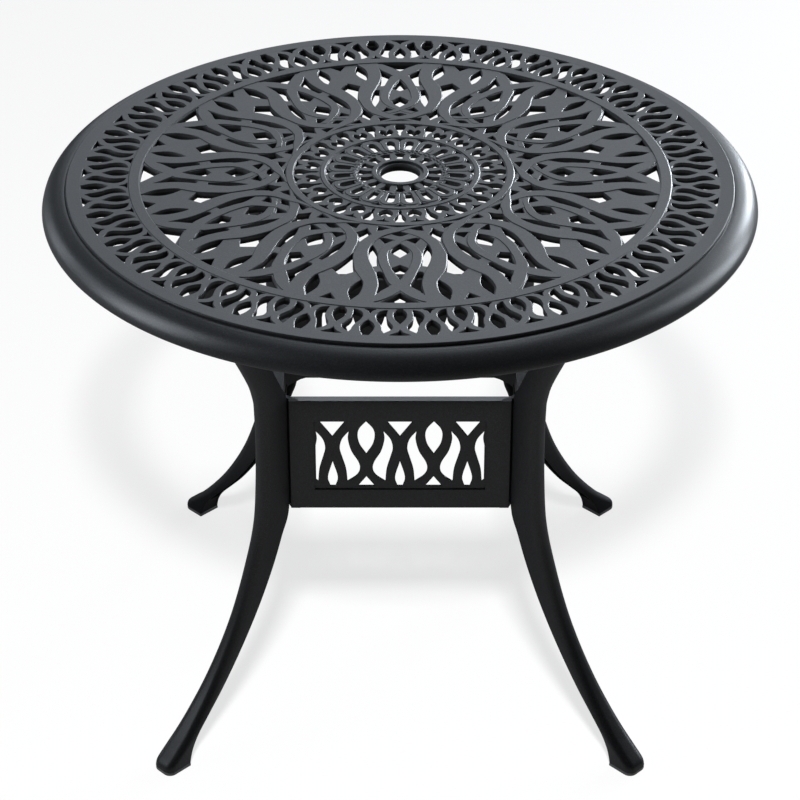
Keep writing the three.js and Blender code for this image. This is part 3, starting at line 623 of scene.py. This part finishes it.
def rope(radius, width, height, twists, steps, sides):
    """A ring of twisted strands: an oval section whose size swells from 0.64 to 1 with the cosine of half the sum of
    the twists times the angle round the ring and one and a half times the angle round the section."""
    a = np.linspace(0, 2 * np.pi, steps, endpoint=False)[:, None]
    b = np.linspace(0, 2 * np.pi, sides, endpoint=False)[None, :]
    swell = 0.64 + 0.36 * np.abs(np.cos((twists * a + 1.5 * b) / 2))
    out = width / 2 * np.cos(b) * swell
    up = height * np.sin(b) * swell
    r = radius + out
    return np.stack([r * np.sin(a), -r * np.cos(a), ring_top - height + up], 2)


rope_ring = swept("rope ring", rope(
    (rope_inner + rope_outer) / 2, rope_outer - rope_inner, height=0.0034, twists=46, steps=552, sides=12))


def boss(angle):
    """A pad under the bead ring, its lower edges drawn in by the casting's draft. Its levels are a share of the full
    size and a height."""
    half_length, half_width = 0.009, 0.016
    corners = np.array([(-1, -1), (1, -1), (1, 1), (-1, 1)])
    levels = np.array([(1.0, table_height - lattice_depth + 0.001), (1.0, table_height - 0.012),
                       (0.96, table_height - 0.0195), (0.92, table_height - 0.02)])
    middle = (bead_inner + bead_outer) / 2
    rings = np.stack([middle + corners[None, :, 0] * half_length * levels[:, :1],
                      corners[None, :, 1] * half_width * levels[:, :1],
                      np.broadcast_to(levels[:, 1:], (len(levels), len(corners)))], 2)
    return place_round(swept("boss", rings, capped=True), angle)


bosses = [boss(np.pi / 4 + quarter * np.pi / 2) for quarter in range(4)]
# The lattice and rings get painted shade in their holes, from 1.2 mm under the top downwards.
lattice_coat = powder_coat("lattice coat", painted_shade_height=table_height - 0.0012)
rim_coat = powder_coat("rim coat")
tabletop_lattice = one_piece("tabletop_lattice", [], lattice_coat, crisp=[lattice])
tabletop_rings = one_piece(
    "tabletop_rings", [rope_ring, *bosses], lattice_coat,
    crisp=[*strands, bead_ring, inner_ring, second_ring, hub])
tabletop_rim = one_piece("tabletop_rim", [rim], rim_coat, sharp=24)

# Three lamps light the whole top and nothing else, and the edge strip its lattice and rings. The lattice lets the
# shadow lamp's light through, and the rim stops it.
top_alone = bpy.data.collections.new("top alone")
for part in (tabletop_lattice, tabletop_rings, tabletop_rim):
    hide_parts("tabletop")
    top_alone.objects.link(part)
for lamp in (rear_overhead, right_panel, left_panel):
    lamp.light_linking.receiver_collection = top_alone
lattice_alone = bpy.data.collections.new("lattice alone")
for part in (tabletop_lattice, tabletop_rings):
    lattice_alone.objects.link(part)
edge_strip.light_linking.receiver_collection = lattice_alone
shadow_makers = bpy.data.collections.new("shadow makers")
shadow_makers.objects.link(tabletop_rim)
shadow_lamp.light_linking.blocker_collection = shadow_makers

# Legs: four cast aluminium channels with a round nose, open towards the middle of the table. Each swells into a
# solid foot, a pad at its top is bolted up into a boss of the tabletop, and a lug at its waist takes the bolt that
# clamps the aprons.
leg_corners = (("rear_right", 45), ("rear_left", 135), ("front_left", 225), ("front_right", 315))
leg_wall, nose_radius = 0.005, 0.011
lip_edge, lip_cut = 0.0012, 0.0003
web_inset, web_lip = 0.002, 0.0004
foot_top = 0.036
pad_low, pad_high = (0.3166, -0.0169, 0.6897), (0.3524, 0.0169, 0.6967)
lug_low, lug_high = (0.2150, -0.0108, 0.3847), (0.2408, 0.0108, 0.4143)
block_edge = 0.001
leg_path = np.array([
    # inner radius, inner height, outer radius, outer height, half width of the lips, half width of the nose
    (316.5, 690.7, 350.0, 690.7, 17.0, 17.0),
    (309.5, 675.7, 346.5, 675.7, 15.5, 15.0),
    (276.0, 613.0, 306.0, 600.9, 14.3, 13.2),
    (239.6, 538.2, 267.5, 524.4, 13.5, 12.5),
    (222.3, 500.7, 256.2, 491.9, 13.5, 12.5),
    (214.8, 481.0, 253.3, 466.0, 13.5, 12.5),
    (214.8, 400.0, 253.3, 400.0, 13.5, 12.5),
    (214.8, 318.0, 257.6, 327.1, 13.5, 12.5),
    (227.4, 278.9, 264.7, 288.0, 12.4, 12.3),
    (243.3, 238.0, 277.2, 248.9, 11.4, 12.4),
    (263.3, 196.4, 291.8, 210.1, 10.4, 12.5),
    (285.0, 160.1, 307.9, 174.5, 10.2, 12.8),
    (309.8, 124.1, 328.6, 138.5, 10.3, 13.1),
    (337.8, 89.4, 352.5, 103.2, 11.1, 14.0),
    (363.9, 61.9, 376.0, 73.8, 12.3, 15.3),
    (385.0, 40.0, 402.6, 45.0, 13.6, 16.4),
    (396.4, 24.1, 423.3, 26.2, 15.0, 17.0),
    (402.0, 11.9, 438.0, 13.4, 16.3, 17.0),
    (404.0, 5.3, 441.0, 5.3, 17.0, 17.0),
]) * 0.001


def leg_rings(rows, shell):
    """The sections of the channel, or of the solid web inside it. A section runs from a lip along a flank to a round
    nose, across it and back. The channel's, which is the shell, starts at a rounded lip and also runs back inside,
    one wall in from there."""
    inner, outer, lip, nose = rows[:, None, 0:2], rows[:, None, 2:4], rows[:, 4:5], rows[:, 5:6]
    depth = np.linalg.norm(outer - inner, axis=2)
    quarter = np.linspace(0, np.pi / 2, 9)[None, :]
    corner = np.minimum(nose_radius, nose * 0.97)
    round_x = nose - corner + corner * np.cos(quarter)
    round_y = depth - corner + corner * np.sin(quarter)
    if shell:
        hollow = np.maximum(corner - leg_wall * 0.6, 0.003)
        hollow_x = nose - leg_wall - hollow + hollow * np.cos(quarter)
        hollow_y = depth - leg_wall - hollow + hollow * np.sin(quarter)
        lip_y = np.broadcast_to([0, lip_cut, lip_edge], (len(rows), 3))
        x, y = np.hstack([lip - lip_edge, lip - lip_cut, lip, round_x]), np.hstack([lip_y, round_y])
        inside = lip - leg_wall
        back_x = np.hstack([inside + lip_edge, inside + lip_cut, inside, hollow_x])
        back_y = np.hstack([lip_y, hollow_y])
        x = np.hstack([-x, x[:, ::-1], back_x, -back_x[:, ::-1]])
        y = np.hstack([y, y[:, ::-1], back_y, back_y[:, ::-1]])
    else:
        x = np.hstack([lip - web_inset, round_x - web_inset])
        y = np.hstack([np.full_like(lip, web_lip), round_y - web_inset])
        x, y = np.hstack([-x, x[:, ::-1]]), np.hstack([y, y[:, ::-1]])
    plane = inner + (outer - inner) * (y / depth)[:, :, None]
    return plane, x


def leg_part(name, rows, shell, angle):
    """Sweeps the sections into a closed surface, at the leg's angle round the table."""
    plane, across = leg_rings(rows, shell)
    rings = np.stack([plane[:, :, 0], across, plane[:, :, 1]], 2)
    return place_round(swept(name, rings, capped=True), angle)


def block_at(name, low, high, angle):
    """A box given in the leg's own frame, with its edges cut back by the block's edge size, turned to the leg's
    angle."""
    box = bmesh.new()
    bmesh.ops.create_cube(box, size=1)
    low, high = np.array(low), np.array(high)
    bmesh.ops.scale(box, vec=high - low, verts=box.verts)
    bmesh.ops.translate(box, vec=(high + low) / 2, verts=box.verts)
    bmesh.ops.bevel(box, geom=box.edges, offset=block_edge, segments=2, profile=0.5, affect="EDGES")
    mesh = bpy.data.meshes.new(name)
    box.to_mesh(mesh)
    box.free()
    return place_round(mesh, angle)


leg_coat = powder_coat("leg coat")
leg_rows = along_rows(leg_path, 5)
foot_rows = leg_rows[leg_rows[:, 1] < foot_top]
for corner_name, angle in leg_corners:
    turn = np.radians(angle)
    leg = one_piece("leg_casting_" + corner_name, [
        leg_part("channel", leg_rows, True, turn),
        leg_part("foot", foot_rows, False, turn),
        block_at("pad", pad_low, pad_high, turn),
        block_at("lug", lug_low, lug_high, turn),
    ], leg_coat, sharp=50)
    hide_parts("leg_" + corner_name)
    shadow_makers.objects.link(leg)

# Aprons: four cast trays between the legs. Each has a framed window of crossing scrolls, flanges along its top and
# bottom that stiffen it, and ends folded to lie against the legs, where a bolt clamps them.
apron_top, apron_bottom = 0.4791, 0.3167
apron_face, apron_half, apron_wall = 0.1630, 0.1404, 0.005
window_half, window_low, window_high = 0.1072, 0.3503, 0.4477
opening_half, opening_below, opening_above = 0.109, 0.0048, 0.0006
scroll_setback, scroll_edge = 0.0018, 0.0006
scroll_pitch, narrowest_hole = 0.0859, 0.004
leg_waist, fold_gap = 0.2145, 0.0004
top_flange, top_fall, bottom_lip = 0.0145, 0.0017, 0.0065
apron_motifs = [
    ([(0.241, 0.845), (0.229, 0.725), (0.279, 0.54), (0.378, 0.38), (0.403, 0.27), (0.353, 0.165),
      (0.219, 0.072), (0.199, 0.272), (0.142, 0.46), (0.109, 0.59), (0.142, 0.725)], (0, 6), True),
    ([(0.5, 1), (0.4, 0.89), (0.375, 0.78), (0.41, 0.64), (0.5, 0.505), (0.59, 0.64), (0.625, 0.78),
      (0.6, 0.89)], (0, 4), False),
    ([(0, 0.38), (-0.072, 0.14), (-0.035, 0), (0.035, 0), (0.072, 0.14)], (0, 2, 3), False),
    ([(-0.185, 1), (-0.085, 0.88), (0, 0.775), (0.085, 0.88), (0.185, 1)], (0, 2, 4), False),
    ([(0.378, 0), (0.5, 0.144), (0.622, 0)], (0, 1, 2), False),
]


def window_holes():
    """The motifs, given as shares of the pitch and of the window's height, repeated along the window at the pitch and
    clipped to its sides by holding their points there."""
    holes = []
    for unit in range(-2, 3):
        for points, corners, mirrored in apron_motifs:
            outline = smooth_outline(points, corners)
            for side in (1, -1) if mirrored else (1,):
                x = (unit + side * outline[:, 0]) * scroll_pitch
                z = np.clip(window_low + outline[:, 1] * (window_high - window_low), window_low, window_high)
                kept = np.clip(x, -window_half, window_half)
                if np.ptp(kept) > narrowest_hole:
                    holes.append(np.column_stack([kept, z]))
    return holes


def upright(mesh, angle):
    """Stands a flat plate on its edge, with its underside as the apron's inner face, and turns it to the apron's
    angle."""
    x, up, thick = mesh_points(mesh).T
    return place_round(mesh, angle, np.column_stack([x, apron_wall - apron_face - thick, up]))


def rectangle(left, right, low, high):
    """The four corners of a rectangle, counter-clockwise."""
    return np.array([(left, low), (right, low), (right, high), (left, high)])


def folded_end(side, angle):
    """The end of the tray: a wall in plan from the face's corner, outwards at 45 degrees to the leg."""
    corner_x, corner_y = apron_half, -apron_face
    end_x, end_y = (leg_waist - fold_gap) * np.sqrt(0.5), -(leg_waist + fold_gap) * np.sqrt(0.5)
    inset, back = apron_wall * np.sqrt(0.5), apron_wall * np.tan(np.pi / 8)
    plan = np.array([(corner_x - 0.012, corner_y + 0.0002), (corner_x - 0.0015, corner_y + 0.0002),
                     (corner_x, corner_y + 0.0008), (corner_x, corner_y + 0.0055),
                     (end_x - 0.0022, end_y + 0.0033), (end_x - 0.0022 - inset, end_y + 0.0033 + inset),
                     (corner_x - back, corner_y + 0.0055 + apron_wall), (corner_x - 0.012, corner_y + apron_wall)])
    heights = np.array([apron_bottom, apron_top])
    rings = np.stack([np.broadcast_to(side * plan[:, 0], (2, 8)), np.broadcast_to(plan[:, 1], (2, 8)),
                      np.broadcast_to(heights[:, None], (2, 8))], 2)
    return place_round(swept("folded end", rings, capped=True), angle)


def flange(low, high, depth, fall, angle):
    """A shelf along the tray, its ends cut at 45 degrees to meet the folded ends, its upper face falling away from
    the panel by the given amount."""
    front, back = 0.001 - apron_face, depth - apron_face
    plan = np.array([(-apron_half + 0.001, front), (apron_half - 0.001, front),
                     (apron_half + 0.002, back), (-apron_half - 0.002, back)])
    heights = np.array([[low] * 4, [high, high, high - fall, high - fall]])
    rings = np.stack([np.broadcast_to(plan[:, 0], (2, 4)), np.broadcast_to(plan[:, 1], (2, 4)), heights], 2)
    return place_round(swept("flange", rings, capped=True), angle)


border = rectangle(-apron_half, apron_half, apron_bottom, apron_top)
opening = rectangle(-opening_half, opening_half, window_low - opening_below, window_high + opening_above)
sheet = rectangle(-opening_half - 0.002, opening_half + 0.002, window_low - 0.007, window_high + 0.003)
apron_coat = powder_coat("apron coat")

# The low back strip lights the aprons alone. The rear apron doesn't stop the shadow lamp's light, so that the floor
# seen through the windows stays pale.
aprons_alone = bpy.data.collections.new("aprons alone")
low_strip.light_linking.receiver_collection = aprons_alone
for side_name, angle in (("front", 0), ("right", 90), ("rear", 180), ("left", 270)):
    turn = np.radians(angle)
    apron = one_piece("apron_casting_" + side_name, [
        upright(pierced_plate("panel", border, [opening], 0, apron_wall, cast_edge), turn),
        upright(pierced_plate("scrolls", sheet, window_holes(), 0, apron_wall - scroll_setback, scroll_edge), turn),
        folded_end(1, turn), folded_end(-1, turn),
        flange(apron_top - 2 * apron_wall, apron_top, top_flange, top_fall, turn),
        flange(apron_bottom, apron_bottom + apron_wall, bottom_lip, 0, turn),
    ], apron_coat)
    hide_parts("apron_" + side_name)
    aprons_alone.objects.link(apron)
    if side_name != "rear":
        shadow_makers.objects.link(apron)

# Glides: moulded plastic feet with a stem pushed up into each leg, which keep the castings off the floor. Each has
# the outline of the foot above it, with its edges drawn in.
glide_inner, glide_outer, glide_half_width = 0.404, 0.441, 0.017
glide_corner, glide_thickness = 0.011, 0.005
stem_middle, stem_radius = 0.4225, 0.005


def moulded_plastic():
    """Matt dark grey plastic with a fine spark-eroded grain."""
    material = bpy.data.materials.new("glide plastic")
    material.use_nodes = True
    nodes, links = material.node_tree.nodes, material.node_tree.links
    shader = nodes["Principled BSDF"]
    shader.inputs["Roughness"].default_value = 0.62
    place = nodes.new("ShaderNodeTexCoord")
    grain = nodes.new("ShaderNodeTexNoise")
    grain.inputs["Scale"].default_value = 1300
    links.new(place.outputs["Object"], grain.inputs["Vector"])
    tone = nodes.new("ShaderNodeMapRange")
    tone.inputs["To Min"].default_value = 0.19
    tone.inputs["To Max"].default_value = 0.28
    links.new(grain.outputs["Fac"], tone.inputs["Value"])
    links.new(tone.outputs["Result"], shader.inputs["Base Color"])
    bump = nodes.new("ShaderNodeBump")
    bump.inputs["Strength"].default_value = 0.3
    bump.inputs["Distance"].default_value = 0.0002
    links.new(grain.outputs["Fac"], bump.inputs["Height"])
    links.new(bump.outputs["Normal"], shader.inputs["Normal"])
    return material


def glide_outline(inset):
    """The foot's outline: square at the inner end, with quarter circles at the outer corners."""
    quarter = np.linspace(0, np.pi / 2, 9)
    x = glide_outer - glide_corner + (glide_corner - inset) * np.sin(quarter)
    y = glide_corner - glide_half_width - (glide_corner - inset) * np.cos(quarter)
    right = np.column_stack([x, y])
    inner, half = glide_inner + inset, glide_half_width - inset
    return np.vstack([(inner, -half), right, right[::-1] * (1, -1), (inner, half)])


def glide_parts(angle):
    """A disc of the foot's outline, as insets and heights, with its edges drawn in at the floor and at the top, and a
    round stem, as radii and heights."""
    levels = ((0.0012, 0), (0.0004, 0.0003), (0.0001, 0.0010),
              (0.0001, glide_thickness - 0.0008), (0.0004, glide_thickness - 0.0002), (0.0012, glide_thickness))
    plan = np.stack([glide_outline(inset) for inset, _ in levels])
    height = np.broadcast_to(np.array([z for _, z in levels])[:, None], plan.shape[:2])
    pad = swept("glide", np.dstack([plan, height]), capped=True)
    a = np.linspace(0, 2 * np.pi, 24, endpoint=False)
    stem_levels = np.array([(stem_radius, 0.004), (stem_radius, 0.0165), (stem_radius - 0.0006, 0.0173)])
    stem_rings = np.stack([stem_middle + stem_levels[:, :1] * np.cos(a), stem_levels[:, :1] * np.sin(a),
                           np.broadcast_to(stem_levels[:, 1:], (3, 24))], 2)
    stem = swept("stem", stem_rings, capped=True)
    return [place_round(mesh, angle) for mesh in (pad, stem)]


plastic = moulded_plastic()
for corner_name, angle in leg_corners:
    glide = one_piece(
        "glide_foot_" + corner_name, glide_parts(np.radians(angle)), plastic, sharp=50)
    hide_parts("glide_" + corner_name)

# Fixings: stainless bolts and washers up through the leg pads, and bolts with clamp plates inside the corners.
# They are the frame's own nodes, given a brushed steel finish.


def stainless():
    """Brushed stainless: fine streaks along the height, and a roughness that wanders a little."""
    material = bpy.data.materials.new("stainless")
    material.use_nodes = True
    nodes, links = material.node_tree.nodes, material.node_tree.links
    shader = nodes["Principled BSDF"]
    shader.inputs["Metallic"].default_value = 1
    place = nodes.new("ShaderNodeTexCoord")
    stretch = nodes.new("ShaderNodeMapping")
    stretch.inputs["Scale"].default_value = (1, 1, 0.08)
    links.new(place.outputs["Object"], stretch.inputs["Vector"])
    streak = nodes.new("ShaderNodeTexNoise")
    streak.inputs["Scale"].default_value = 1500
    streak.inputs["Detail"].default_value = 3
    links.new(stretch.outputs["Vector"], streak.inputs["Vector"])
    tone = nodes.new("ShaderNodeMapRange")
    tone.inputs["To Min"].default_value = 0.36
    tone.inputs["To Max"].default_value = 0.50
    links.new(streak.outputs["Fac"], tone.inputs["Value"])
    links.new(tone.outputs["Result"], shader.inputs["Base Color"])
    rough = nodes.new("ShaderNodeMapRange")
    rough.inputs["To Min"].default_value = 0.24
    rough.inputs["To Max"].default_value = 0.40
    links.new(streak.outputs["Fac"], rough.inputs["Value"])
    links.new(rough.outputs["Result"], shader.inputs["Roughness"])
    return material


steel = stainless()
for name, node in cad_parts.items():
    if name.startswith(("leg_bolt", "leg_washer", "corner_bolt", "corner_plate")):
        node.material_slots[0].link = "OBJECT"
        node.material_slots[0].material = steel
